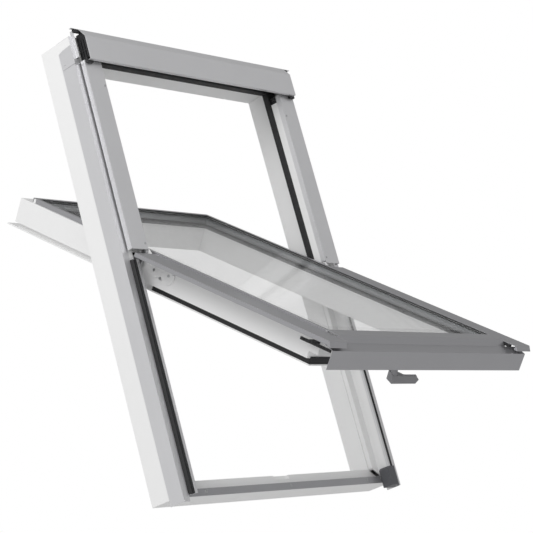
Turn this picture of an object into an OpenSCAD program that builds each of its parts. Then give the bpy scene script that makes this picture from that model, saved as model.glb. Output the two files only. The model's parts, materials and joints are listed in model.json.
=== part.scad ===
// Roof skylight: centre-pivot sash in a plastic frame with aluminium cladding.
// Axes: X along the width, Y inward (outside is -Y), Z up along the frame.
// The origin is at the middle of the sill's underside.
// Frame profiles count y from the side cladding's front; in_frame() moves them back to the origin.

/* [Overall] */
// Outer width of the frame over its side cladding
frame_w = 780; // [600:1:1200]
// Outer height of the frame
frame_h = 1100; // [880:1:1500]
// Depth of the frame from the cladding's front to its back
frame_d = 97.4; // [85:0.1:130]
// Angle of the open sash from the frame's plane, in degrees
open_angle = 50.3; // [0:0.1:155]

/* [Frame] */
// Width of a jamb from its outer side to the inner face
jamb_w = 54.3; // [45:0.1:70]
// Height of the head from its top to the inner face
head_h = 37; // [30:0.1:60]
// Height of the sill's inner upstand above the underside
sill_h = 41.1; // [34:0.1:60]
// Height of the sill's front tread, cladding included
tread_h = 17; // [12:0.1:24]
// Width of the front rebate in a jamb
rebate_w = 21.3; // [15:0.1:26]
// Depth of the front rebate from the cladding's front
rebate_d = 30; // [24:0.1:40]
// Wall thickness of the plastic profiles
wall = 3; // [2:0.1:4]
// Thickness of the aluminium sheets
sheet = 1.2; // [0.8:0.1:1.6]

/* [Sash] */
// Gap from a jamb's inner face to the side of the sash
side_gap = 19.7; // [16:0.1:30]
// Width of a stile from its side to its inner edge
stile_w = 58; // [48:0.1:80]
// Depth of the sash from the pivot plane to the inner face
sash_d = 85; // [76:0.1:102]
// Gap from the head's inner face to the sash's top lip
head_gap = 10.7; // [8:0.1:20]
// Gap from the sill's upstand to the sash's bottom lip
sill_gap = 6.7; // [5:0.1:12]
// Thickness of each pane
pane = 4; // [3:0.1:6]
// Thickness of the whole glass unit
unit = 22; // [18:0.1:23]

/* [Pivot] */
// Height of the pivot axis as a share of the frame's height
pivot_share = 0.51255; // [0.48:0.0001:0.56]
// Distance of the pivot axis in front of the side cladding
pivot_out = 11.5; // [11:0.1:12.5]
// Radius of the pivot pin
pin_r = 2.5; // [2:0.05:2.8]
// Running clearance round the pivot pin
pin_gap = 0.05; // [0.02:0.01:0.1]

/* [Handle] */
// Length of the lever from its left end to its tip
lever_len = 101; // [70:1:130]
// Travel of the latch bolt
bolt_travel = 14; // [10:0.5:16]

/* [Hidden] */
$fn = 48;
eps = 0.5;
sill_front = 20;
origin_y = (sill_front + sheet + frame_d) / 2;
half = frame_w / 2;
skin = half - sheet;
inner_x = half - jamb_w;
rebate_x = inner_x + rebate_w;
head_z = frame_h - head_h;
pivot_z = frame_h * pivot_share;
pivot_y = -pivot_out;
// Sash outline: x from the middle, u up from the pivot, v inward from the pivot plane.
side_x = inner_x - side_gap;
stile_x = side_x - stile_w;
lip_top = head_z - head_gap - pivot_z;
lip_low = sill_h + sill_gap - pivot_z;
rail_top = lip_top - 35.9;
rail_low = lip_low - 25;
nose_low = lip_low - 61;
trim_x = side_x - 7.2;
glass_x = side_x - 17.5;
trim_top = lip_top - 70.8;
glass_top = trim_top - 10.3;
glass_low = lip_low - 21;
fold_low = lip_low - 55;
inner_top = glass_top - 40.5;
inner_low = glass_low + 40.5;
pane_x = glass_x + 4.5;
pane_top = glass_top + 4.5;
pane_low = glass_low - 6;
ledge_v = 24;
shelf_v = 9;
face_v = -2.3;
seat_v = face_v + sheet;
cover_v = 0.7;
cover_x = half - 15.4;
cover_top = -16;
cover_low = lip_low - 88.4;
cover_deep = 10.1;
apron_u = lip_low - 92.4;
apron_x = half - 30;
apron_v = sash_d - 23;
gasket_v = sash_d - 16;
heel_v = sash_d - 32;
lip_v = sash_d - 3.5;
seal_drop = 1.6;
seal_end = -30;
seal_show = 4;
gasket_x = side_x - 10;
body_x = gasket_x - 4;
lip_x = gasket_x;
bolt_v = 66.5;
bolt_deep = 5.5;
bolt_half = 9;
catch_x = side_x + 22;
lever_x = 26;
lever_u = lip_low + 17;
lever_low = lip_low + 8.8;
lever_v = sash_d + 27.5;
gap_y = -17;
gap_x0 = side_x + 4.8;
gap_x1 = gap_x0 + 53;
gap_top = head_z - 29;
stop_y0 = -2.6;
stop_y1 = 17;
stop_low = pivot_z + 8.2;
hood_y = -33.2;
hood_x = half - 21;
hood_z0 = head_z - 32.6;
hood_z1 = head_z + 26.9;
hood_top = head_z + 50;
hood_back = -16;
block_y = -9;
block_top = sill_h - 7;
foot = 0.5;

// One node's name, or all of them

white = [0.96, 0.96, 0.96];
alu = [0.62, 0.62, 0.64];
dark_alu = [0.48, 0.48, 0.5];
black = [0.1, 0.1, 0.11];
glassy = [0.75, 0.85, 0.86, 0.4];
steel = [0.75, 0.75, 0.77];

module along_x(x0, x1, pts) {
    translate([x0, 0, 0])
        rotate([90, 0, 90])
            linear_extrude(height = x1 - x0)
                polygon(pts);
}

module along_y(y0, y1, pts) {
    translate([0, y1, 0])
        rotate([90, 0, 0])
            linear_extrude(height = y1 - y0)
                polygon(pts);
}

module along_z(z0, z1, pts) {
    translate([0, 0, z0])
        linear_extrude(height = z1 - z0)
            polygon(pts);
}

// A box given by its two corners.
module box(a, b) {
    translate(a)
        cube([b[0] - a[0], b[1] - a[1], b[2] - a[2]]);
}

// A round pin along X.
module pin_x(x0, x1, y, z, r) {
    translate([x0, y, z])
        rotate([0, 90, 0])
            cylinder(r = r, h = x1 - x0);
}

// A round pin along Y.
module pin_y(x, y0, y1, z, r) {
    translate([x, y0, z])
        rotate([-90, 0, 0])
            cylinder(r = r, h = y1 - y0);
}

module left() {
    mirror([1, 0, 0])
        children();
}

module both() {
    children();
    left()
        children();
}

module in_frame() {
    translate([0, -origin_y, 0])
        children();
}

module in_sash() {
    translate([0, pivot_y - origin_y, pivot_z])
        rotate([-open_angle, 0, 0])
            children();
}

// ---- Frame ----

module jamb_right() {
    color(white) in_frame()
        difference() {
            intersection() {
                along_z(0, frame_h, [
                    [skin, sheet], [skin, frame_d], [inner_x, frame_d], [inner_x, 43], [inner_x + 2, 43],
                    [inner_x + 2, 41], [inner_x, 41], [inner_x, rebate_d], [rebate_x, rebate_d], [rebate_x, sheet]
                ]);
                along_y(0, frame_d + 1, [
                    [half, 0], [half, frame_h], [inner_x, head_z], [inner_x, sill_h]
                ]);
            }
            box([inner_x + wall + 2, rebate_d + wall, -1], [skin - wall, frame_d - wall, frame_h + 1]);
            box([rebate_x + wall, sheet + wall, -1], [skin - wall, rebate_d, frame_h + 1]);
            hinge_holes();
        }
}

// The frame hinge's two screw holes in the jamb.
module hinge_holes() {
    for (dz = [-26, -8])
        pin_y(rebate_x - 9, rebate_d - eps, rebate_d + wall + eps, pivot_z + dz, 1.8);
}

module frame_jamb_right() {
    jamb_right();
}

module frame_jamb_left() {
    left()
        jamb_right();
}

module frame_head() {
    step = head_z + 14.5;
    color(white) in_frame()
        difference() {
            intersection() {
                along_x(-half, half, [
                    [sheet, step], [sheet, frame_h - sheet], [frame_d, frame_h - sheet], [frame_d, head_z],
                    [rebate_d, head_z], [rebate_d, step]
                ]);
                along_y(0, frame_d + 1, [
                    [-half, frame_h], [half, frame_h], [inner_x, head_z], [-inner_x, head_z]
                ]);
            }
            along_x(-half, half, [
                [rebate_d + wall, head_z + wall], [rebate_d + wall, frame_h - sheet - wall],
                [frame_d - wall, frame_h - sheet - wall], [frame_d - wall, head_z + wall]
            ]);
            along_x(-half, half, [
                [sheet + wall, step + wall], [sheet + wall, frame_h - sheet - wall],
                [rebate_d, frame_h - sheet - wall], [rebate_d, step + wall]
            ]);
        }
}

module frame_sill() {
    front = 20 + sheet;
    riser = 42.8;
    color(white) in_frame()
        difference() {
            intersection() {
                along_x(-skin, skin, [
                    [front, 0], [front, tread_h - sheet], [riser, tread_h - sheet], [riser, sill_h],
                    [frame_d, sill_h], [frame_d, 0]
                ]);
                along_y(0, frame_d + 1, [
                    [-half, 0], [half, 0], [inner_x, sill_h], [-inner_x, sill_h]
                ]);
            }
            along_x(-half, half, [
                [riser + wall, wall], [riser + wall, sill_h - 12], [frame_d - wall, sill_h - 12], [frame_d - wall, wall]
            ]);
            along_x(-half, half, [
                [front + wall, wall], [front + wall, tread_h - sheet - wall],
                [riser, tread_h - sheet - wall], [riser, wall]
            ]);
            intersection() {
                translate([0, riser, sill_h - 9])
                    cylinder(r = 27, h = 10);
                box([-30, riser - 1, sill_h - 9], [30, riser + 7.2, sill_h + 1]);
            }
            box([-13, 53, sill_h - 11], [13, 64, sill_h + 1]);
        }
}

// The striker: a cup let into the upstand behind the half-round recess.
module keeper() {
    color(steel) in_frame()
        difference() {
            box([-13, 53, sill_h - 11], [13, 64, sill_h]);
            box([-10.5, 54.3, sill_h - 10], [10.5, 62.7, sill_h + 1]);
        }
}

module stop() {
    color(white) in_frame()
        difference() {
            box([gap_x0, stop_y0, stop_low], [rebate_x, stop_y1, gap_top - 16]);
            box([gap_x0 + 2.5, stop_y0 + 2.5, stop_low - 1], [rebate_x - 2.5, stop_y1 - 2.5, gap_top]);
        }
}

module stop_right() {
    stop();
}

module stop_left() {
    left()
        stop();
}

module gasket_right() {
    color(black) in_frame()
        difference() {
            along_z(stop_low, head_z, [
                [side_x + 2, 19.5], [gap_x0, stop_y1], [inner_x + 12, stop_y1], [inner_x + 12, rebate_d],
                [inner_x, rebate_d], [inner_x, 35.5], [side_x + 3.5, 35.5], [side_x + 2, 34]
            ]);
            box([side_x + 5, 20.5, stop_low - 1], [inner_x - 3, 32.5, head_z + 1]);
        }
}

module stop_gasket_right() {
    gasket_right();
}

module stop_gasket_left() {
    left()
        gasket_right();
}

module head_gasket() {
    color(black) in_frame()
        difference() {
            along_x(-inner_x, inner_x, [
                [19, head_z - 10.5], [stop_y1, head_z - 9], [stop_y1, head_z + 14.5], [rebate_d, head_z + 14.5],
                [rebate_d, head_z], [36, head_z], [36, head_z - 9], [34.5, head_z - 10.5]
            ]);
            along_x(-inner_x - 1, inner_x + 1, [
                [20, head_z - 8], [20, head_z - 2], [33, head_z - 2], [33, head_z - 8]
            ]);
            both()
                box([side_x + 1.9, 10, head_z - 20], [half, 40, head_z]);
        }
}

module side_cover() {
    color(alu) in_frame() {
        along_x(half - sheet, half, [
            [0, -14.4], [42.5, -14.4], [42.5, head_z + 9], [29, head_z + 13], [0, head_z + 15]
        ]);
        box([half - 19, 0, -14.4], [half - sheet, sheet, head_z + 15]);
    }
}

module side_cover_right() {
    side_cover();
}

module side_cover_left() {
    left()
        side_cover();
}

module clip_right() {
    color(alu) in_frame()
        difference() {
            union() {
                box([half, -2, head_z - 33], [half + sheet, 39, head_z - 20]);
                box([half - 15, -2, head_z - 33], [half, 0, head_z - 20]);
            }
            pin_x(half - eps, half + 2, 29.5, head_z - 24.5, 1.6);
        }
}

module side_clip_right() {
    clip_right();
}

module side_clip_left() {
    left()
        clip_right();
}

module flange(z0) {
    z1 = pivot_z - 20;
    color(alu) in_frame()
        along_z(z0, z1, [
            [rebate_x - 6, block_y + 0.1], [rebate_x + 1.4, block_y + 0.1], [rebate_x + 1.4, 0],
            [rebate_x + 10, 0], [rebate_x + 10, sheet], [rebate_x, sheet],
            [rebate_x, block_y + 0.1 + sheet], [rebate_x - 6, block_y + 0.1 + sheet]
        ]);
}

module front_flange_right() {
    flange(block_top);
}

module front_flange_left() {
    left()
        flange(foot);
}

module seal(z0) {
    z1 = pivot_z - 20;
    color(black) in_frame()
        along_z(z0, z1, [
            [rebate_x + 1.8, 0], [rebate_x + 1.8, -7.5], [rebate_x + 3, -8.4], [rebate_x + 5, -8.4],
            [rebate_x + 6.2, -6.2], [rebate_x + 8.2, -6.2], [rebate_x + 9.4, -8], [rebate_x + 11.4, -8],
            [rebate_x + 13, -5.5], [rebate_x + 15.5, -3], [rebate_x + 15.5, 0]
        ]);
}

module front_seal_right() {
    seal(block_top);
}

module front_seal_left() {
    left()
        seal(foot);
}

module gap_right() {
    color(alu) in_frame() {
        difference() {
            along_z(pivot_z + 2.4, gap_top, [
                [gap_x0, gap_y], [gap_x1, gap_y], [gap_x1, -4], [gap_x1 - sheet, -4],
                [gap_x1 - sheet, gap_y + sheet], [gap_x0 + sheet, gap_y + sheet],
                [gap_x0 + sheet, stop_y0], [gap_x0, stop_y0]
            ]);
            box([gap_x0 - 1, gap_y + sheet, pivot_z], [gap_x0 + 4, 0, stop_low]);
            pin_y(gap_x0 + 6, gap_y - 1, gap_y + 2, pivot_z + 17, 1.5);
            pin_y(gap_x0 + 6, gap_y - 1, gap_y + 2, gap_top - 60, 1.5);
        }
    }
}

module gap_cover_right() {
    gap_right();
}

module gap_cover_left() {
    left()
        gap_right();
}

// Spring clips that carry the gap covers, with the ribbed ones at the top.
module gap_clips() {
    color(black) in_frame()
        both() {
            for (z = [pivot_z + 12, gap_top - 66])
                box([gap_x0 + sheet, gap_y + sheet, z], [gap_x0 + 16, stop_y0, z + 12]);
            difference() {
                box([gap_x0 + sheet, gap_y + sheet, gap_top - 15], [rebate_x - 2, stop_y0, gap_top - 1]);
                pin_x(gap_x0, rebate_x, -9, gap_top - 8, 2.2);
            }
            box([gap_x0 - 2, stop_y0, gap_top - 15.5], [rebate_x, 12, gap_top - 12.5]);
            box([gap_x0, stop_y0, gap_top - 12.5], [rebate_x, 10, gap_top - 9.5]);
            box([gap_x0 - 2, stop_y0, gap_top - 9.5], [rebate_x, 12, gap_top - 6.5]);
            box([gap_x0, stop_y0, gap_top - 6.5], [rebate_x, 10, gap_top - 3.5]);
            box([gap_x0 - 2, stop_y0, gap_top - 3.5], [rebate_x, 12, gap_top - 0.5]);
        }
}

module gap_rivets() {
    color(steel) in_frame()
        both()
            for (z = [pivot_z + 17, gap_top - 60]) {
                pin_y(gap_x0 + 6, gap_y - 0.9, gap_y, z, 2.6);
                pin_y(gap_x0 + 6, gap_y, gap_y + 1.2, z, 1.5);
            }
}

module hood() {
    color(alu) in_frame() {
        along_x(-hood_x, hood_x, [
            [hood_y, hood_z0], [hood_y, hood_z1], [hood_back - 1, hood_top], [hood_back, hood_top - 0.8],
            [hood_y + sheet, hood_z1 - 0.4], [hood_y + sheet, hood_z0 + sheet],
            [hood_y + 8, hood_z0 + sheet], [hood_y + 8, hood_z0]
        ]);
        along_x(-hood_x - 24, hood_x + 24, [
            [hood_back - 1.6, hood_top - 1.4], [hood_back - 1, hood_top], [hood_back + 5, hood_top],
            [hood_back + 5, hood_top - 1.2], [hood_back, hood_top - 1.2]
        ]);
    }
}

module hood_end() {
    x1 = hood_x - 5;
    color(black) in_frame() {
        along_x(x1 - 14, x1, [
            [hood_y + sheet, hood_z0 + 7.6], [hood_y + sheet, hood_z1 - 3], [hood_back - 4, hood_top - 9],
            [0, hood_top - 9], [0, hood_z0 + 7.6]
        ]);
        for (i = [0:2])
            box([x1, hood_y + 4 + i * 8, hood_z0 + 9], [x1 + 4, hood_y + 8 + i * 8, hood_z1 - 4]);
        box([x1, hood_y + sheet, hood_z0 + 26], [x1 + 3, -3, hood_z0 + 29]);
        box([x1 - 10, hood_y + 8.2, hood_z0 - 5], [hood_x + 3, hood_y + 14.8, hood_z0 + 8]);
        box([x1 - 14, hood_back, hood_top - 9], [hood_x + 16, hood_back + 5, hood_top - 1.4]);
    }
}

module hood_end_right() {
    hood_end();
}

module hood_end_left() {
    left()
        hood_end();
}

module hood_brackets() {
    color(black) in_frame()
        for (x = [-inner_x * 0.6, 0, inner_x * 0.6])
            along_x(x - 15, x + 15, [
                [hood_y + sheet, hood_z1 - 12], [hood_y + sheet, hood_z1 - 2], [hood_back, hood_z1 - 2],
                [0, frame_h - 2], [0, hood_z1 - 12]
            ]);
}

module head_cover() {
    color(alu) in_frame() {
        along_x(-skin, skin, [
            [0, head_z + 15.2], [0, frame_h], [42.5, frame_h], [42.5, frame_h - sheet], [sheet, frame_h - sheet],
            [sheet, head_z + 15.2]
        ]);
    }
}

// Light folded ends of the flashing flange beside the hood.
module flange_ends() {
    color(steel) in_frame()
        both() {
            box([half - 10, hood_back + 5.2, head_z - 19], [half - 8.8, 0, hood_top - 1.2]);
            box([half - 8.8, -sheet, head_z - 19], [half, 0, frame_h]);
        }
}

module sill_cover() {
    color(dark_alu) in_frame()
        difference() {
            along_x(-rebate_x, rebate_x, [
                [20, 0], [20, tread_h], [42.8, tread_h], [42.8, tread_h - sheet], [20 + sheet, tread_h - sheet],
                [20 + sheet, 0]
            ]);
            for (x = [-inner_x * 0.867, 0, inner_x * 0.867])
                pin_y(x, 19, 22, 10, 2);
            box([inner_x + 9.5, sill_front - 1, -1], [rebate_x + 1, 43, tread_h + 1]);
        }
}

module sill_screws() {
    color(steel) in_frame()
        for (x = [-inner_x * 0.867, 0, inner_x * 0.867]) {
            pin_y(x, 19, 20, 10, 4.2);
            pin_y(x, 20, 21.2, 10, 2);
        }
}

// A plastic block at the frame's lower right corner; on the left the seal runs down to the foot.
module corner_blocks() {
    z0 = -14;
    x0 = inner_x + 10;
    x1 = cover_x - 1.8;
    color(dark_alu) in_frame() {
        along_y(block_y, 0, [[x0, z0], [x1, z0], [x1, block_top], [x0 + 5, block_top], [x0, block_top - 5]]);
        box([x1, -1, z0], [half - 6, 0, block_top]);
        box([x0, 0, z0], [half - 19.2, sheet, 0]);
        box([x0, sheet, z0], [half - sheet, 19.8, 0]);
        along_y(0, 19.8, [
            [x0, 0], [rebate_x - 0.2, 0], [rebate_x - 0.2, block_top], [x0 + 5, block_top], [x0, block_top - 5]
        ]);
    }
}

// ---- Hinges ----

module frame_hinge() {
    x0 = side_x + 6.3;
    x1 = x0 + 5;
    color(steel) in_frame()
        difference() {
            union() {
                pin_x(x0, x1, pivot_y, pivot_z, 4);
                along_x(x0, x1, [
                    [pivot_y - 3, pivot_z - 2.6], [pivot_y + 2.5, pivot_z + 3.1], [rebate_d, pivot_z - 2],
                    [rebate_d, pivot_z - 32], [rebate_d - 6, pivot_z - 32]
                ]);
                box([x1, rebate_d - 3.5, pivot_z - 32], [rebate_x - 0.2, rebate_d, pivot_z - 2]);
            }
            pin_x(x0 - 1, x1 + 1, pivot_y, pivot_z, pin_r);
            for (dz = [-26, -8])
                pin_y(rebate_x - 9, rebate_d - 5, rebate_d + 1, pivot_z + dz, 1.8);
        }
}

module frame_hinge_right() {
    frame_hinge();
}

module frame_hinge_left() {
    left()
        frame_hinge();
}

module frame_hinge_screws() {
    color(steel) in_frame()
        both()
            for (dz = [-26, -8]) {
                pin_y(rebate_x - 9, rebate_d - 5.3, rebate_d - 3.5, pivot_z + dz, 3.4);
                pin_y(rebate_x - 9, rebate_d - 3.5, rebate_d + wall, pivot_z + dz, 1.8);
            }
}

module pivot_pins() {
    x0 = side_x + 0.3;
    color(steel) in_frame()
        both() {
            pin_x(x0, side_x + 11.3, pivot_y, pivot_z, pin_r);
            pin_x(side_x + 11.3, side_x + 13, pivot_y, pivot_z, 3.8);
        }
}

// Sash plate: a small arm at the pivot and two round screw lobes on the stile.
module sash_hinge() {
    x0 = side_x;
    x1 = x0 + 4.3;
    xp = x0 + 3.2;
    color(white)
        in_sash()
            difference() {
                union() {
                    pin_x(x0 + 0.3, x1, 0, 0, 5.5);
                    along_x(x0 + 0.3, x1, [[-4, -3.8], [4, 3.8], [31, -22], [14, -36]]);
                    pin_x(x0, xp, 33, -34, 17);
                    pin_x(x0, xp, 34, -80, 19);
                    along_x(x0, xp, [[21, -34], [45, -34], [45, -80], [21, -80]]);
                }
                pin_x(x0 - 1, x1 + 1, 0, 0, pin_r + pin_gap);
                for (q = [[33, -34], [32, -81], [45, -58], [24, -94]])
                    pin_x(x0 - 1, x1 + 1, q[0], q[1], 1.9);
            }
}

module sash_hinge_right() {
    sash_hinge();
}

module sash_hinge_left() {
    left()
        sash_hinge();
}

module sash_hinge_screws() {
    color(steel)
        in_sash()
            both()
                for (q = [[33, -34], [32, -81], [45, -58], [24, -94]]) {
                    pin_x(side_x + 3.2, side_x + 4.2, q[0], q[1], 3.4);
                    pin_x(side_x, side_x + 3.2, q[0], q[1], 1.9);
                }
}

// ---- Sash ----

module stile() {
    color(white)
        in_sash()
            difference() {
                union() {
                    box([pane_x + 1.5, seat_v, rail_low], [trim_x - sheet, shelf_v, trim_top - sheet]);
                    along_z(rail_low, rail_top, [
                        [pane_x + 1.5, shelf_v], [side_x, shelf_v], [side_x, heel_v], [stile_x, heel_v],
                        [stile_x, ledge_v], [pane_x + 1.5, ledge_v]
                    ]);
                    along_z(lip_low, rail_top, [
                        [side_x, heel_v], [side_x, gasket_v], [body_x, gasket_v], [body_x, lip_v], [lip_x, lip_v],
                        [lip_x, sash_d], [stile_x, sash_d], [stile_x, heel_v]
                    ]);
                }
                box([stile_x + wall, ledge_v + wall, rail_low - 1], [side_x - wall, heel_v - wall, rail_top + 1]);
                box([stile_x + wall, heel_v, lip_low - 1], [body_x - wall, lip_v, rail_top + 1]);
            }
}

module sash_stile_right() {
    stile();
}

module sash_stile_left() {
    left()
        stile();
}

module sash_top_rail() {
    x = stile_x;
    color(white)
        in_sash() {
            difference() {
                along_x(-x, x, [
                    [seat_v, pane_top + 1.5], [seat_v, trim_top - sheet], [shelf_v, trim_top - sheet],
                    [shelf_v, rail_top], [sash_d, rail_top], [sash_d, inner_top],
                    [ledge_v, inner_top], [ledge_v, pane_top + 1.5]
                ]);
                along_x(-x - 1, x + 1, [
                    [ledge_v + wall, inner_top + wall], [ledge_v + wall, rail_top - wall],
                    [lip_v - wall, rail_top - wall], [lip_v - wall, inner_top + wall]
                ]);
            }
            along_x(-lip_x, lip_x, [
                [lip_v, rail_top], [lip_v, lip_top], [sash_d, lip_top], [sash_d, rail_top]
            ]);
            both()
                along_x(x, pane_x + 1.5, [
                    [seat_v, pane_top + 1.5], [seat_v, trim_top - sheet], [shelf_v, trim_top - sheet],
                    [shelf_v, rail_top], [ledge_v, rail_top], [ledge_v, pane_top + 1.5]
                ]);
        }
}

module sash_bottom_rail() {
    x = stile_x;
    color(white)
        in_sash() {
            difference() {
                along_x(-x, x, [
                    [seat_v, pane_low - 1.5], [seat_v, fold_low + 2], [12, fold_low - 6.5], [30, fold_low - 6.5],
                    [30, rail_low], [heel_v, rail_low], [heel_v, lip_low], [sash_d, lip_low], [sash_d, inner_low],
                    [ledge_v, inner_low], [ledge_v, pane_low - 1.5]
                ]);
                along_x(-x - 1, x + 1, [
                    [ledge_v + wall, inner_low - wall], [ledge_v + wall, rail_low + wall],
                    [50, rail_low + wall], [50, inner_low - wall]
                ]);
                box([-bolt_half - 1, bolt_v - 1, lip_low - 1], [bolt_half + 1, bolt_v + bolt_deep + 1, inner_low - 3]);
                box([-16, 60, lip_low + 3.5], [16, 76, inner_low - 3]);
            }
            box([-lip_x, lip_v, lip_low - seal_drop], [lip_x, sash_d, lip_low]);
            both()
                along_x(x, pane_x + 1.5, [
                    [seat_v, pane_low - 1.5], [seat_v, fold_low + 2], [12, fold_low - 6.5], [30, fold_low - 6.5],
                    [30, rail_low], [ledge_v, rail_low], [ledge_v, pane_low - 1.5]
                ]);
            both()
                along_x(pane_x + 1.5, side_x, [
                    [shelf_v + 1, rail_low], [shelf_v + 1, fold_low - 4], [12, fold_low - 6.5], [30, fold_low - 6.5],
                    [30, rail_low]
                ]);
        }
}

module pane_outer() {
    color(glassy)
        in_sash()
            box([-pane_x, 0, pane_low], [pane_x, pane, pane_top]);
}

module pane_inner() {
    color(glassy)
        in_sash()
            box([-pane_x, unit - pane, pane_low], [pane_x, unit, pane_top]);
}

module ring(v0, v1, x0, x1, low0, low1, top0, top1) {
    difference() {
        box([-x1, v0, low1], [x1, v1, top1]);
        box([-x0, v0 - 1, low0], [x0, v1 + 1, top0]);
    }
}

module spacer() {
    color([0.55, 0.55, 0.57])
        in_sash()
            ring(pane, unit - pane, pane_x - 14, pane_x, pane_low + 14, pane_low, pane_top - 14, pane_top);
}

module glass_seals() {
    color(black)
        in_sash() {
            ring(seat_v, 0, glass_x - seal_show, pane_x, glass_low + seal_show, pane_low, glass_top - seal_show, pane_top);
            ring(unit, ledge_v, stile_x + 1, pane_x, inner_low - 1, pane_low, inner_top + 1, pane_top);
        }
}

module trim_side() {
    color(dark_alu)
        in_sash()
            along_z(glass_low, trim_top - 10.3, [
                [glass_x, face_v], [trim_x, face_v], [trim_x, shelf_v], [trim_x - sheet, shelf_v],
                [trim_x - sheet, seat_v], [glass_x, seat_v]
            ]);
}

module trim_right() {
    trim_side();
}

module trim_left() {
    left()
        trim_side();
}

module trim_top() {
    color(dark_alu)
        in_sash()
            along_x(-trim_x, trim_x, [
                [face_v, glass_top], [face_v, trim_top], [shelf_v, trim_top], [shelf_v, trim_top - sheet],
                [seat_v, trim_top - sheet], [seat_v, glass_top]
            ]);
}

module sash_cover() {
    groove = side_x - 5;
    end_v = 13;
    color(dark_alu)
        in_sash() {
            difference() {
                along_z(cover_low, cover_top, [
                    [trim_x, cover_v], [groove, cover_v], [groove + 0.5, cover_v + 0.6], [groove + 1, cover_v],
                    [cover_x, cover_v], [cover_x, cover_deep], [cover_x - sheet, cover_deep],
                    [cover_x - sheet, cover_v + sheet], [groove + 1.4, cover_v + sheet], [groove + 1.4, shelf_v],
                    [groove + 0.2, shelf_v], [groove + 0.2, cover_v + sheet], [trim_x, cover_v + sheet]
                ]);
                box([trim_x - 1, cover_v + sheet, cover_low - 1], [cover_x - sheet, 11, rail_low - 30]);
            }
            along_x(trim_x + 10, cover_x, [
                [cover_v, cover_low], [cover_v, cover_low + 3], [end_v, cover_low + 3], [end_v, cover_low - 7]
            ]);
        }
}

module sash_cover_right() {
    sash_cover();
}

module sash_cover_left() {
    left()
        sash_cover();
}

// Plastic clip that ties a sash cover to the bottom cover's end.
module cover_end() {
    color(black)
        in_sash()
            box([trim_x + 0.2, cover_v + sheet, fold_low - 22], [trim_x + 9, 9.8, fold_low - 1]);
}

module cover_end_right() {
    cover_end();
}

module cover_end_left() {
    left()
        cover_end();
}

module bottom_cover() {
    low = fold_low - 9;
    color(dark_alu)
        in_sash() {
            along_x(-trim_x, trim_x, [
                [face_v, glass_low], [face_v, fold_low], [12, low], [12 + sheet, low + 0.4],
                [12 + sheet, low + sheet], [seat_v, fold_low + 1], [seat_v, glass_low]
            ]);
            along_x(-apron_x, apron_x, [
                [12, low], [20, apron_u], [apron_v, apron_u + 2.6], [apron_v, apron_u + 2.6 + sheet],
                [20.9, apron_u + sheet], [12 + sheet, low + 0.4]
            ]);
        }
}

// The sash seals below the pivot only; above it the frame's own gaskets do.
module sash_gasket() {
    color(black)
        in_sash()
            difference() {
                union() {
                    difference() {
                        box([-gasket_x, gasket_v, lip_low], [gasket_x, lip_v, seal_end]);
                        box([-body_x, gasket_v - 1, lip_low - 1], [body_x, lip_v + 1, seal_end + 1]);
                    }
                    box([-gasket_x, gasket_v - 4, lip_low - seal_drop], [gasket_x, lip_v, lip_low]);
                }
                box([-bolt_half - 1, bolt_v - 2, lip_low - 5], [bolt_half + 1, bolt_v + bolt_deep + 1, lip_low + 1]);
            }
}

// Toothed corner catches on short arms.
module catches() {
    color(black)
        in_sash()
            both() {
                difference() {
                    box([catch_x, 24.5, lip_low - 73], [catch_x + 4, 31, lip_low + 12]);
                    for (i = [0:6])
                        box([catch_x + 3, 23.5, lip_low - 66 + i * 8], [catch_x + 5, 32.5, lip_low - 63 + i * 8]);
                }
                box([side_x, 25.5, lip_low - 22], [catch_x, 29.5, lip_low - 4]);
                pin_x(catch_x + 4, catch_x + 6, 28, lip_low + 4, 3);
            }
}

// ---- Handle ----

module lock_case() {
    color(steel)
        in_sash()
            difference() {
                box([-16, 60, lip_low + 3.5], [16, 76, inner_low - 3]);
                box([-bolt_half - 0.2, bolt_v - 0.2, lip_low], [bolt_half + 0.2, bolt_v + bolt_deep + 0.2, inner_low - 5]);
            }
}

module handle_base() {
    color(dark_alu)
        in_sash()
            difference() {
                pin_y(lever_x, sash_d, sash_d + 9, lever_u, 11.5);
                pin_y(lever_x, sash_d - 1, sash_d + 10, lever_u, 8.05);
            }
}

// Lever: a round neck and a tapering grip with its tip cut to a point.
module handle() {
    x0 = lever_x - 9;
    x1 = x0 + lever_len;
    u0 = lever_low;
    v0 = lever_v;
    color(dark_alu)
        in_sash() {
            pin_y(lever_x, sash_d + 0.3, v0 + 2, lever_u, 8);
            intersection() {
                along_x(x0, x1, [[v0, u0], [v0 + 18, u0], [v0 + 11.5, u0 + 16.5], [v0 - 9, u0 + 16.5]]);
                along_y(v0 - 12, v0 + 20, [
                    [x0 - 1, u0 - 1], [x1 + 1, u0 - 1], [x1 + 1, u0 + 5], [x0 + 46, u0 + 5], [x0 + 18, u0 + 17.5],
                    [x0 - 1, u0 + 17.5]
                ]);
                along_z(u0 - 1, u0 + 18, [
                    [x0 - 1, v0 - 12], [x1 - 11, v0 - 12], [x1 - 11, v0 + 1], [x1, v0 + 8], [x1 - 10, v0 + 19],
                    [x0 - 1, v0 + 19]
                ]);
            }
        }
}

module latch_bolt() {
    color(steel)
        in_sash()
            box([-bolt_half, bolt_v, lip_low + 0.5], [bolt_half, bolt_v + bolt_deep, lip_low + bolt_travel - 0.5]);
}

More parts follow.
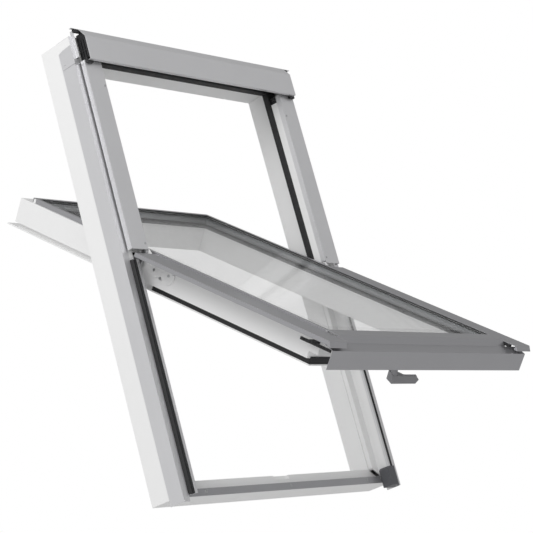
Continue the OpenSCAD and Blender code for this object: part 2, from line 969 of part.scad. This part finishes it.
frame_jamb_left();
frame_jamb_right();
frame_head();
frame_sill();
stop_left();
stop_right();
stop_gasket_left();
stop_gasket_right();
head_gasket();
side_cover_left();
side_cover_right();
side_clip_left();
side_clip_right();
front_flange_left();
front_flange_right();
front_seal_left();
front_seal_right();
gap_cover_left();
gap_cover_right();
gap_clips();
gap_rivets();
hood();
hood_end_left();
hood_end_right();
hood_brackets();
head_cover();
flange_ends();
sill_cover();
sill_screws();
corner_blocks();
keeper();
frame_hinge_left();
frame_hinge_right();
frame_hinge_screws();
pivot_pins();
sash_stile_left();
sash_stile_right();
sash_top_rail();
sash_bottom_rail();
pane_outer();
pane_inner();
spacer();
glass_seals();
trim_left();
trim_right();
trim_top();
sash_cover_left();
sash_cover_right();
cover_end_left();
cover_end_right();
bottom_cover();
sash_gasket();
sash_hinge_left();
sash_hinge_right();
sash_hinge_screws();
catches();
lock_case();
handle_base();
handle();
latch_bolt();
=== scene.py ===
"""Finishes, soft edges, light and camera for a centre-pivot roof skylight.

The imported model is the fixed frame. Its pieces get rounded edges and procedural finishes here.
"""

import json
import math

import bmesh
import bpy
from mathutils import Matrix, Vector

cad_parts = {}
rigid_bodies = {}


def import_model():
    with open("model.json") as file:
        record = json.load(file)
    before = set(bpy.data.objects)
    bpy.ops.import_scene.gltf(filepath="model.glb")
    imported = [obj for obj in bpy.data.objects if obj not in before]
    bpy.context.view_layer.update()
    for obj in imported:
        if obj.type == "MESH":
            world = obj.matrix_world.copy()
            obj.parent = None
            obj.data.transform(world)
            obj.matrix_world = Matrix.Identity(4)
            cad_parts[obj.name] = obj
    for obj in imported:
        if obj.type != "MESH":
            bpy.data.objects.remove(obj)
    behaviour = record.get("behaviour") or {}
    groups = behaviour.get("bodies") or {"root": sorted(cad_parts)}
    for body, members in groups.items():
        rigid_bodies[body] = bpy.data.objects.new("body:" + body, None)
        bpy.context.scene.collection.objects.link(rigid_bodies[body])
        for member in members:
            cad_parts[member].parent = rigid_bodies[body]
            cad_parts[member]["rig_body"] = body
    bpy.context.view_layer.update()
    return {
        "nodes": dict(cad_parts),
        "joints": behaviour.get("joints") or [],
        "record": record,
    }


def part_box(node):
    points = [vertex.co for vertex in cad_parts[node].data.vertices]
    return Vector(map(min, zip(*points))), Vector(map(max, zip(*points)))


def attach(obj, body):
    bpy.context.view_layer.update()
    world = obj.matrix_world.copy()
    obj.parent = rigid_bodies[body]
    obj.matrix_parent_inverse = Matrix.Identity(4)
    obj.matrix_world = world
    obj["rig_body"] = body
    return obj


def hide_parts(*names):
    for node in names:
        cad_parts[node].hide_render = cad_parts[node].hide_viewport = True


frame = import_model()

bl_info = {
    "name": "Roof Skylight",
    "version": (1, 0, 0),
    "blender": (4, 5, 0),
    "location": "View3D > Sidebar > Skylight",
    "description": "Finishes and soft edges for a centre-pivot roof skylight",
    "category": "Object",
}

MM = 0.001
# How the room's light leans along X, Y and Z, and the most that the lean adds or takes,
# as a share of the fill.
ROOM_LEAN = (-0.42, -0.25, -0.12)
LEAN_LIMIT = 0.5

# The record's material slot of each CAD node.
SLOT_OF = {row["node"]: row["material_slot"] for row in frame["record"]["subparts"]}

# The hollows of a sash stile, in millimetres from the pivot with the sash shut:
# two places along X, two inward, and the heights where the hollow ends.
STILE_HOLLOWS = (
    (261.0, 313.0, 27.0, 50.0, (-540.7, 452.3)),
    (261.0, 299.0, 53.0, 81.5, (-515.7, 452.3)),
)
CAP_DEPTH = 3.0

# Rounding of the pieces' edges: edges that turn more than this are rounded, in so many steps.
SHARP_ANGLE = math.radians(35)
EDGE_STEPS = 2
# Before the rounding, triangles this flat to each other are one face, and points this close are one point.
FLAT_ANGLE = math.radians(0.5)
WELD_DISTANCE = 0.001 * MM

# A sill screw's profile as shares of the head's radius and rise, from the top down, and its shaft's length.
SCREW_TOP = ((0.55, 1.0), (0.86, 0.8), (1.0, 0.35), (1.0, 0.0))
SHAFT_SHARE = 0.47
SHAFT_LENGTH = 1.2 * MM
# The cross recess's tool as the same shares: half of its arm, width and depth, and its middle's height.
RECESS_ARM = 0.5
RECESS_WIDTH = 0.12
RECESS_DEPTH = 0.7
RECESS_MIDDLE = 0.95

# The stage, in metres. The floor lies well below, so that it stays out of the upward view.
FLOOR_HEIGHT = -1.2
FLOOR_HALF = 12
KEY_PLACE = (-3.2, -1.2, 2.6)
KEY_AIM = (0, 0, 0.5)
KEY_SIZE = 2.2

# The camera: its place in metres, the directions of its right, up and back, and its lens in millimetres.
CAMERA_PLACE = (-3.3009, -2.709, -0.6611)
CAMERA_RIGHT = (0.64897, -0.7174, -0.25334)
CAMERA_UP = (-0.04436, -0.3681, 0.92873)
CAMERA_BACK = (-0.75952, -0.59148, -0.27071)
CAMERA_LENS = 124.6
CAMERA_SENSOR = 36
CAMERA_REACH = 50

PROFILES = (
    "frame_jamb_left", "frame_jamb_right", "frame_head", "frame_sill", "stop_left", "stop_right",
    "sash_stile_left", "sash_stile_right", "sash_top_rail", "sash_bottom_rail",
)
CLADDING = (
    "side_cover_left", "side_cover_right", "side_clip_left", "side_clip_right", "front_flange_left",
    "front_flange_right", "gap_cover_left", "gap_cover_right", "hood", "head_cover", "flange_ends",
    "sill_cover", "trim_left", "trim_right", "trim_top", "sash_cover_left", "sash_cover_right",
    "bottom_cover",
)
SEALS = (
    "stop_gasket_left", "stop_gasket_right", "head_gasket", "front_seal_left", "front_seal_right",
    "glass_seals", "sash_gasket",
)
MOULDINGS = (
    "gap_clips", "hood_end_left", "hood_end_right", "hood_brackets", "corner_blocks",
    "cover_end_left", "cover_end_right", "catches",
)
HINGES = (
    "frame_hinge_left", "frame_hinge_right", "frame_hinge_screws", "pivot_pins", "sash_hinge_left",
    "sash_hinge_right", "sash_hinge_screws", "gap_rivets", "keeper", "lock_case", "latch_bolt",
)
GLAZING = ("pane_outer", "pane_inner", "spacer")


def linear(hex_colour):
    """An sRGB hex colour as linear red, green, blue and an alpha of one."""
    parts = [int(hex_colour[i:i + 2], 16) / 255 for i in (1, 3, 5)]
    return tuple(c / 12.92 if c <= 0.04045 else ((c + 0.055) / 1.055) ** 2.4 for c in parts) + (1.0,)


def colour(title, note, hex_colour):
    """A colour setting whose default is an sRGB hex value."""
    return bpy.props.FloatVectorProperty(
        name=title, description=note, subtype="COLOR", size=4, min=0.0, max=1.0, default=linear(hex_colour)
    )


def length(title, note, metres):
    """A size setting in metres."""
    return bpy.props.FloatProperty(name=title, description=note, unit="LENGTH", min=0.0, default=metres)


class SkylightColours(bpy.types.PropertyGroup):
    """Colours of the finishes."""

    profile: colour("Profile white", "Extruded window profile", "#EDEDED")
    cladding: colour("Frame cladding", "Light coated sheet on the frame", "#DADADC")
    sash_metal: colour("Sash cladding", "Grey coated sheet on the sash", "#A8A8AB")
    rubber: colour("Seals", "Rubber of the seals", "#1E1E20")
    nylon: colour("Black mouldings", "Nylon clips and end pieces", "#262628")
    corner: colour("Corner blocks", "Grey moulded blocks", "#55565A")
    spacer: colour("Spacer bar", "Bar between the panes", "#A6A8AA")
    lever: colour("Handle", "Cast handle", "#8C8C8F")
    zinc: colour("Screws and hinges", "Zinc-plated steel", "#C4C5C6")
    glass: colour("Glass", "Float glass", "#FAFCFC")


class SkylightSizes(bpy.types.PropertyGroup):
    """Edge radii, screw heads and light levels."""

    profile_edge: length("Profile edge", "Radius on the window profiles", 0.8 * MM)
    sheet_edge: length("Sheet edge", "Radius on the folded sheets", 0.35 * MM)
    seal_edge: length("Seal edge", "Radius on the seals", 0.9 * MM)
    moulding_edge: length("Moulding edge", "Radius on the small mouldings", 0.5 * MM)
    lever_edge: length("Handle edge", "Radius on the lever and its base", 1.6 * MM)
    screw_head: length("Screw head", "Radius of a sill screw's head", 4.2 * MM)
    screw_rise: length("Screw head rise", "Height of a sill screw's head", 1.0 * MM)
    fill_level: bpy.props.FloatProperty(
        name="Fill", description="Level of the all-round light", default=0.62, min=0.0
    )
    key_power: bpy.props.FloatProperty(
        name="Key light", description="Power of the soft key light", unit="POWER", default=55.0, min=0.0
    )


# ---- Finishes ----


def add(tree, kind, settings=None, **links):
    """Adds a node with its settings and links. A number, or _ and a number, stands for a socket's place."""
    made = tree.nodes.new(kind)
    for name, value in (settings or {}).items():
        if isinstance(name, int):
            made.inputs[name].default_value = value
        elif name in made.inputs:
            made.inputs[name].default_value = value
        else:
            setattr(made, name, value)
    for name, source in links.items():
        socket = int(name[1:]) if name[0] == "_" else name.replace("_", " ")
        tree.links.new(source, made.inputs[socket])
    return made


def surface(name, base, grain_mm, bump, rough, spread, metallic=0.0, tint=0.06, **sockets):
    """A finish with a fine grain in bump and roughness, and a slow shift of its colour."""
    made = bpy.data.materials.new(name)
    made.use_nodes = True
    tree = made.node_tree
    shader = tree.nodes["Principled BSDF"]
    place = add(tree, "ShaderNodeTexCoord")
    grain = add(
        tree, "ShaderNodeTexNoise", {"Scale": 1 / (grain_mm * MM), "Detail": 3.0, "Roughness": 0.55},
        Vector=place.outputs["Object"],
    )
    # Slow shade differences from the coating or the extrusion, about a hand's width across.
    cloud = add(tree, "ShaderNodeTexNoise", {"Scale": 9.0, "Detail": 2.0}, Vector=place.outputs["Object"])
    darker = tuple(c * (1 - tint) for c in base[:3]) + (1.0,)
    shade = add(
        tree, "ShaderNodeMix", {"data_type": "RGBA", 6: base, 7: darker}, Factor=cloud.outputs["Fac"]
    )
    level = add(
        tree, "ShaderNodeMapRange", {"To Min": rough - spread, "To Max": rough + spread},
        Value=grain.outputs["Fac"],
    )
    relief = add(
        tree, "ShaderNodeBump", {"Strength": bump, "Distance": 0.05 * MM}, Height=grain.outputs["Fac"]
    )
    tree.links.new(shade.outputs[2], shader.inputs["Base Color"])
    tree.links.new(level.outputs["Result"], shader.inputs["Roughness"])
    tree.links.new(relief.outputs["Normal"], shader.inputs["Normal"])
    shader.inputs["Metallic"].default_value = metallic
    for socket, value in sockets.items():
        shader.inputs[socket.replace("_", " ")].default_value = value
    return made


def float_glass(name, base):
    """Clear float glass, fire-polished: mirror smooth, with the faintest wave of the drawn ribbon."""
    made = bpy.data.materials.new(name)
    made.use_nodes = True
    tree = made.node_tree
    shader = tree.nodes["Principled BSDF"]
    place = add(tree, "ShaderNodeTexCoord")
    wave = add(tree, "ShaderNodeTexNoise", {"Scale": 3.0, "Detail": 0.0}, Vector=place.outputs["Object"])
    relief = add(tree, "ShaderNodeBump", {"Strength": 0.02, "Distance": 0.1 * MM}, Height=wave.outputs["Fac"])
    tree.links.new(relief.outputs["Normal"], shader.inputs["Normal"])
    for socket, value in {
        "Base Color": base, "Roughness": 0.02, "IOR": 1.52, "Transmission Weight": 1.0, "Alpha": 0.16,
    }.items():
        shader.inputs[socket].default_value = value
    return made


def build_finishes(tones):
    """One material for each of the record's slots."""
    return {
        # uPVC, extruded: a smooth semi-gloss skin with a very faint grain.
        "white_plastic": surface(
            "upvc_extruded_white", tones.profile, 2.5, 0.06, 0.3, 0.04, tint=0.02, IOR=1.53
        ),
        # EPDM, extruded: matt black with a dusty grain.
        "black_rubber": surface(
            "epdm_rubber_extruded", tones.rubber, 1.5, 0.25, 0.62, 0.08, tint=0.15, IOR=1.5
        ),
        "clear_glass": float_glass("float_glass_clear", tones.glass),
        # Mill-finished aluminium, rolled: a dull, slightly uneven metal.
        "spacer_metal": surface(
            "aluminium_rolled_spacer", tones.spacer, 1.2, 0.12, 0.4, 0.06, metallic=0.9
        ),
        # Coil-coated aluminium: satin polyester paint with a light orange peel, drawn at 3 mm
        # because its real 1 mm is too fine to show.
        "grey_coated_aluminium": surface(
            "coil_coated_aluminium_grey", tones.sash_metal, 3.0, 0.12, 0.34, 0.05, metallic=0.7, tint=0.06,
            Coat_Weight=0.15, Coat_Roughness=0.3
        ),
        "light_coated_aluminium": surface(
            "coil_coated_aluminium_light", tones.cladding, 3.0, 0.12, 0.34, 0.05, metallic=0.6, tint=0.06,
            Coat_Weight=0.15, Coat_Roughness=0.3
        ),
        # Glass-filled nylon, moulded: fine spark-eroded texture.
        "black_plastic": surface("nylon_moulded_black", tones.nylon, 1.4, 0.3, 0.48, 0.08, tint=0.1),
        # ABS, moulded: matt grey with the same texture.
        "grey_plastic": surface("abs_moulded_grey", tones.corner, 1.4, 0.3, 0.5, 0.08, tint=0.1),
        # Die-cast aluminium, blasted and lacquered: an even satin with a tight grain.
        "handle_metal": surface(
            "aluminium_die_cast_satin", tones.lever, 1.0, 0.2, 0.36, 0.06, metallic=0.55
        ),
        # Zinc-plated steel: bright, with a slightly uneven plating.
        "zinc_plated_steel": surface(
            "steel_zinc_plated", tones.zinc, 1.2, 0.15, 0.3, 0.08, metallic=1.0, tint=0.2
        ),
    }


FINISHES = {}


def finish_of(node):
    """The finish for a CAD node, built once and looked up by its slot."""
    if not FINISHES:
        FINISHES.update(build_finishes(bpy.context.scene.skylight_colours))
    return FINISHES[SLOT_OF[node]]


# ---- Meshes ----


def dress(node):
    """Gives a CAD node its finish as it stands."""
    mesh = frame["nodes"][node].data
    mesh.materials.clear()
    mesh.materials.append(finish_of(node))


def soften(node, radius):
    """Stands a copy with rounded edges in for a CAD node."""
    source = frame["nodes"][node]
    mesh = source.data.copy()
    shape = bmesh.new()
    shape.from_mesh(mesh)
    bmesh.ops.remove_doubles(shape, verts=shape.verts, dist=WELD_DISTANCE)
    bmesh.ops.dissolve_limit(
        shape, angle_limit=FLAT_ANGLE, verts=shape.verts, edges=shape.edges, delimit={"NORMAL"}
    )
    shape.to_mesh(mesh)
    shape.free()
    piece = bpy.data.objects.new(node + "_soft", mesh)
    bpy.context.scene.collection.objects.link(piece)
    mesh.materials.clear()
    mesh.materials.append(finish_of(node))
    rounding = piece.modifiers.new("edges", "BEVEL")
    rounding.width = radius
    rounding.segments = EDGE_STEPS
    rounding.limit_method = "ANGLE"
    rounding.angle_limit = SHARP_ANGLE
    apply_modifiers(piece)
    for face in piece.data.polygons:
        face.use_smooth = False
    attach(piece, source["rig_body"])
    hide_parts(node)


def apply_modifiers(piece):
    """Turns a piece's modifiers into plain mesh."""
    bpy.context.view_layer.update()
    shaped = piece.evaluated_get(bpy.context.evaluated_depsgraph_get())
    final = bpy.data.meshes.new_from_object(shaped)
    piece.modifiers.clear()
    piece.data = final


def lathe(shape, rings, sides=32):
    """A closed turned solid about Y from (radius, y) rings, ends filled."""
    loops = []
    for radius, y in rings:
        loops.append([
            shape.verts.new((
                radius * math.cos(math.tau * k / sides), y, radius * math.sin(math.tau * k / sides)
            ))
            for k in range(sides)
        ])
    for low, high in zip(loops, loops[1:]):
        for k in range(sides):
            shape.faces.new((low[k], low[(k + 1) % sides], high[(k + 1) % sides], high[k]))
    shape.faces.new(loops[0])
    shape.faces.new(loops[-1][::-1])


def new_piece(name, shape, node):
    """Makes a mesh object from a bmesh, in the finish of a CAD node. The caller puts it on a body."""
    bmesh.ops.recalc_face_normals(shape, faces=shape.faces)
    mesh = bpy.data.meshes.new(name)
    shape.to_mesh(mesh)
    shape.free()
    mesh.materials.append(finish_of(node))
    piece = bpy.data.objects.new(name, mesh)
    bpy.context.scene.collection.objects.link(piece)
    return piece


def screw_shape(sizes):
    """A pan-head screw that points inward along Y, with a cross recess, its seat at y = 0."""
    shape = bmesh.new()
    r, rise = sizes.screw_head, sizes.screw_rise
    head = [(share * r, -height * rise) for share, height in SCREW_TOP]
    lathe(shape, head + [(SHAFT_SHARE * r, 0), (SHAFT_SHARE * r, SHAFT_LENGTH)])
    body = new_piece("screw_body", shape, "sill_screws")
    cut = bmesh.new()
    for long_x, long_z in ((RECESS_ARM, RECESS_WIDTH), (RECESS_WIDTH, RECESS_ARM)):
        made = bmesh.ops.create_cube(cut, size=1.0)
        arm = (2 * long_x * r, 2 * RECESS_DEPTH * rise, 2 * long_z * r)
        bmesh.ops.scale(cut, verts=made["verts"], vec=arm)
        bmesh.ops.translate(cut, verts=made["verts"], vec=(0, -RECESS_MIDDLE * rise, 0))
    tool = new_piece("screw_cut", cut, "sill_screws")
    carve = body.modifiers.new("cross", "BOOLEAN")
    carve.object = tool
    carve.solver = "EXACT"
    carve.use_self = True
    apply_modifiers(body)
    mesh = body.data.copy()
    bpy.data.objects.remove(body)
    bpy.data.objects.remove(tool)
    return mesh


# ---- Operators ----


class SoftenGroup:
    """Shared work of the operators that round the edges of a group of pieces."""

    bl_options = {"REGISTER"}
    nodes = ()
    edge = ""

    def execute(self, context):
        radius = getattr(context.scene.skylight_sizes, self.edge)
        for node in self.nodes:
            soften(node, radius)
        return {"FINISHED"}


class SKYLIGHT_OT_profiles(SoftenGroup, bpy.types.Operator):
    """Rounds and finishes the white profiles of the frame and the sash."""

    bl_idname = "skylight.profiles"
    bl_label = "Window Profiles"
    nodes = PROFILES
    edge = "profile_edge"


class SKYLIGHT_OT_end_caps(bpy.types.Operator):
    """Closes the open ends of the hollow sash stiles, as their welded corners do."""

    bl_idname = "skylight.end_caps"
    bl_label = "Stile Ends"
    bl_options = {"REGISTER"}

    def execute(self, context):
        pivot = next(joint for joint in frame["joints"] if joint["name"] == "sash_pivot")
        centre = Matrix.Translation(pivot["pos_m"])
        # The sash stands open by the angle that its lower limit takes back.
        turn = Matrix.Rotation(math.radians(pivot["range_deg"][0]), 4, "X")
        seat = centre @ turn
        for side, name in ((-1, "left"), (1, "right")):
            shape = bmesh.new()
            for x0, x1, v0, v1, ends in STILE_HOLLOWS:
                for end in ends:
                    inward = CAP_DEPTH if end < 0 else -CAP_DEPTH
                    low = Vector((side * x0, v0, end)) * MM
                    high = Vector((side * x1, v1, end + inward)) * MM
                    made = bmesh.ops.create_cube(shape, size=1.0)
                    bmesh.ops.scale(shape, verts=made["verts"], vec=[abs(c) for c in high - low])
                    bmesh.ops.translate(shape, verts=made["verts"], vec=(low + high) / 2)
            bmesh.ops.transform(shape, matrix=seat, verts=shape.verts)
            piece = new_piece("stile_caps_" + name, shape, "sash_stile_" + name)
            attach(piece, "sash")
        return {"FINISHED"}


class SKYLIGHT_OT_cladding(SoftenGroup, bpy.types.Operator):
    """Rounds and finishes the folded aluminium sheets."""

    bl_idname = "skylight.cladding"
    bl_label = "Metal Cladding"
    nodes = CLADDING
    edge = "sheet_edge"


class SKYLIGHT_OT_seals(SoftenGroup, bpy.types.Operator):
    """Rounds and finishes the rubber seals."""

    bl_idname = "skylight.seals"
    bl_label = "Rubber Seals"
    nodes = SEALS
    edge = "seal_edge"


class SKYLIGHT_OT_mouldings(SoftenGroup, bpy.types.Operator):
    """Rounds and finishes the clips, end pieces and corner blocks."""

    bl_idname = "skylight.mouldings"
    bl_label = "Plastic Mouldings"
    nodes = MOULDINGS
    edge = "moulding_edge"


class SKYLIGHT_OT_handle(SoftenGroup, bpy.types.Operator):
    """Rounds and finishes the lever and its base."""

    bl_idname = "skylight.handle"
    bl_label = "Handle"
    nodes = ("handle", "handle_base")
    edge = "lever_edge"


class SKYLIGHT_OT_hinges(bpy.types.Operator):
    """Finishes the hinges, pins, rivets, keeper and lock as they stand."""

    bl_idname = "skylight.hinges"
    bl_label = "Hinges and Lock"
    bl_options = {"REGISTER"}

    def execute(self, context):
        for node in HINGES:
            dress(node)
        return {"FINISHED"}


class SKYLIGHT_OT_glazing(bpy.types.Operator):
    """Finishes the panes and the spacer bar."""

    bl_idname = "skylight.glazing"
    bl_label = "Glazing"
    bl_options = {"REGISTER"}

    def execute(self, context):
        for node in GLAZING:
            dress(node)
        return {"FINISHED"}


class SKYLIGHT_OT_screws(bpy.types.Operator):
    """Models the pan-head screws in the sill cover."""

    bl_idname = "skylight.screws"
    bl_label = "Sill Screws"
    bl_options = {"REGISTER"}

    def execute(self, context):
        sizes = context.scene.skylight_sizes
        low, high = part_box("sill_screws")
        seat = low.y + sizes.screw_rise
        mesh = screw_shape(sizes)
        shape = bmesh.new()
        for x in (low.x + sizes.screw_head, (low.x + high.x) / 2, high.x - sizes.screw_head):
            start = len(shape.verts)
            shape.from_mesh(mesh)
            shape.verts.ensure_lookup_table()
            bmesh.ops.translate(
                shape, verts=shape.verts[start:], vec=(x, seat, (low.z + high.z) / 2)
            )
        piece = new_piece("sill_screws_pan_head", shape, "sill_screws")
        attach(piece, "frame")
        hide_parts("sill_screws")
        return {"FINISHED"}


def area_light(name, place, aim, size, power):
    """A square soft light at a place, turned to a point."""
    lamp = bpy.data.lights.new(name, "AREA")
    lamp.size = size
    lamp.energy = power
    holder = bpy.data.objects.new(name, lamp)
    holder.location = place
    holder.rotation_euler = (Vector(aim) - Vector(place)).to_track_quat("-Z", "Y").to_euler()
    bpy.context.scene.collection.objects.link(holder)


def lay_floor():
    """A plain pale floor."""
    shape = bmesh.new()
    bmesh.ops.create_grid(shape, x_segments=1, y_segments=1, size=FLOOR_HALF)
    mesh = bpy.data.meshes.new("floor")
    shape.to_mesh(mesh)
    shape.free()
    floor = bpy.data.objects.new("floor", mesh)
    floor.location.z = FLOOR_HEIGHT
    # Painted screed: matt, with the roller's soft grain.
    mesh.materials.append(surface("painted_floor", linear("#F6F6F6"), 8.0, 0.02, 0.7, 0.05, tint=0.01))
    bpy.context.scene.collection.objects.link(floor)


def studio_world(fill):
    """All-round light that is brightest on the left, before a backdrop that shows pure white."""
    world = bpy.data.worlds.new("studio_white")
    world.use_nodes = True
    tree = world.node_tree
    tree.nodes.clear()
    aim = add(tree, "ShaderNodeTexCoord")
    lean = add(
        tree, "ShaderNodeVectorMath", {"operation": "DOT_PRODUCT", 1: ROOM_LEAN}, _0=aim.outputs["Generated"]
    )
    room = add(
        tree, "ShaderNodeMapRange",
        {
            "From Min": -LEAN_LIMIT, "From Max": LEAN_LIMIT,
            "To Min": (1 - LEAN_LIMIT) * fill, "To Max": (1 + LEAN_LIMIT) * fill,
        },
        Value=lean.outputs["Value"],
    )
    path = add(tree, "ShaderNodeLightPath")
    level = add(
        tree, "ShaderNodeMapRange", {"To Max": 1.0},
        Value=path.outputs["Is Camera Ray"], To_Min=room.outputs["Result"],
    )
    light = add(tree, "ShaderNodeBackground", {"Color": (1, 1, 1, 1)}, Strength=level.outputs["Result"])
    add(tree, "ShaderNodeOutputWorld", Surface=light.outputs["Background"])
    return world


def place_camera():
    """The camera, looking up at the open sash from the left and outside."""
    view = bpy.data.cameras.new("camera")
    view.lens = CAMERA_LENS
    view.sensor_width = CAMERA_SENSOR
    view.clip_end = CAMERA_REACH
    camera = bpy.data.objects.new("camera", view)
    turn = Matrix((CAMERA_RIGHT, CAMERA_UP, CAMERA_BACK)).transposed().to_4x4()
    camera.matrix_world = Matrix.Translation(CAMERA_PLACE) @ turn
    bpy.context.scene.collection.objects.link(camera)
    return camera


class SKYLIGHT_OT_stage(bpy.types.Operator):
    """Sets the floor, the light and the camera."""

    bl_idname = "skylight.stage"
    bl_label = "Stage"
    bl_options = {"REGISTER"}

    def execute(self, context):
        sizes = context.scene.skylight_sizes
        lay_floor()
        context.scene.world = studio_world(sizes.fill_level)
        context.scene.view_settings.view_transform = "Standard"
        area_light("key", KEY_PLACE, KEY_AIM, KEY_SIZE, sizes.key_power)
        context.scene.camera = place_camera()
        return {"FINISHED"}


class SKYLIGHT_PT_panel(bpy.types.Panel):
    """Lists the skylight's operators and settings."""

    bl_idname = "SKYLIGHT_PT_panel"
    bl_label = "Roof Skylight"
    bl_space_type = "VIEW_3D"
    bl_region_type = "UI"
    bl_category = "Skylight"

    def draw(self, context):
        for step in STEPS:
            self.layout.operator(step.bl_idname)
        for group in (context.scene.skylight_sizes, context.scene.skylight_colours):
            for name in group.__annotations__:
                self.layout.prop(group, name)


STEPS = (
    SKYLIGHT_OT_profiles,
    SKYLIGHT_OT_end_caps,
    SKYLIGHT_OT_cladding,
    SKYLIGHT_OT_seals,
    SKYLIGHT_OT_mouldings,
    SKYLIGHT_OT_hinges,
    SKYLIGHT_OT_glazing,
    SKYLIGHT_OT_screws,
    SKYLIGHT_OT_handle,
    SKYLIGHT_OT_stage,
)
CLASSES = (SkylightColours, SkylightSizes) + STEPS + (SKYLIGHT_PT_panel,)


def register():
    """Registers the classes and hangs the settings on the scene."""
    for kind in CLASSES:
        bpy.utils.register_class(kind)
    bpy.types.Scene.skylight_colours = bpy.props.PointerProperty(type=SkylightColours)
    bpy.types.Scene.skylight_sizes = bpy.props.PointerProperty(type=SkylightSizes)


def unregister():
    """Takes the settings and the classes away again."""
    del bpy.types.Scene.skylight_sizes
    del bpy.types.Scene.skylight_colours
    for kind in reversed(CLASSES):
        bpy.utils.unregister_class(kind)


def main():
    """Builds every piece and the stage."""
    register()
    for step in STEPS:
        group, name = step.bl_idname.split(".")
        getattr(getattr(bpy.ops, group), name)()


if __name__ == "__main__":
    main()
